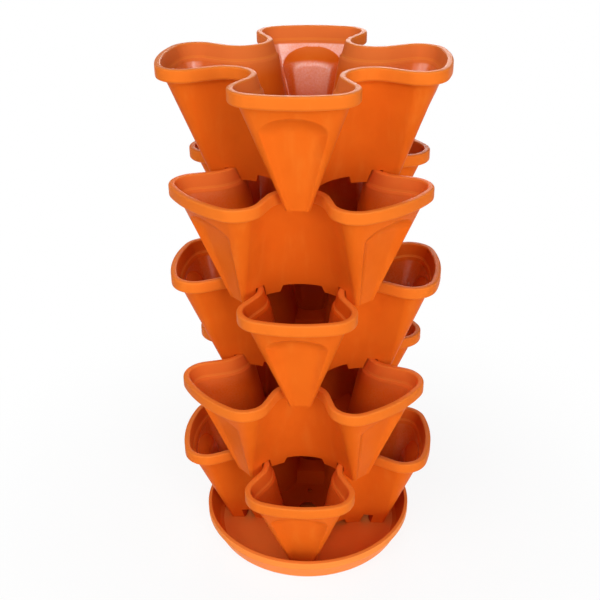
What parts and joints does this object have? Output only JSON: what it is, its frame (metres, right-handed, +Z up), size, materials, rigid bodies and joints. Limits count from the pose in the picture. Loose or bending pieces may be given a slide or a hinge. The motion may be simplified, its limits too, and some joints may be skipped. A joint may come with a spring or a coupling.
{
  "type": "vertical planter tower",
  "caption": "Stacking herb planter tower: lobed pots set crosswise on each other, their open lobes as planting pockets, standing in a round drip saucer.",
  "frame": {"origin": "middle of the drip saucer's underside, on the surface the tower stands on", "axes": "+Z up the stack; the lobes of the bottom, middle and top tiers point along X and Y, with the front of the pictured tower towards -Y"},
  "size_m": [0.3048, 0.3048, 0.5995],
  "materials": {
    "tier_plastic": "satin terracotta-orange polypropylene",
    "saucer_plastic": "satin terracotta-orange polypropylene"
  },
  "bodies": {
    "root": {"drip_saucer": "saucer_plastic"},
    "bottom_tier": {"bottom_tier": "tier_plastic"},
    "second_tier": {"second_tier": "tier_plastic"},
    "middle_tier": {"middle_tier": "tier_plastic"},
    "fourth_tier": {"fourth_tier": "tier_plastic"},
    "top_tier": {"top_tier": "tier_plastic"}
  },
  "joints": [
    {"name": "bottom_tier_lift", "type": "slide", "parent": "root", "child": "bottom_tier", "axis": [0, 0, 1], "range_m": [0, 0.055]},
    {"name": "second_tier_lift", "type": "slide", "parent": "bottom_tier", "child": "second_tier", "axis": [0, 0, 1], "range_m": [0, 0.04]},
    {"name": "middle_tier_lift", "type": "slide", "parent": "second_tier", "child": "middle_tier", "axis": [0, 0, 1], "range_m": [0, 0.04]},
    {"name": "fourth_tier_lift", "type": "slide", "parent": "middle_tier", "child": "fourth_tier", "axis": [0, 0, 1], "range_m": [0, 0.04]},
    {"name": "top_tier_lift", "type": "slide", "parent": "fourth_tier", "child": "top_tier", "axis": [0, 0, 1], "range_m": [0, 0.04]}
  ]
}
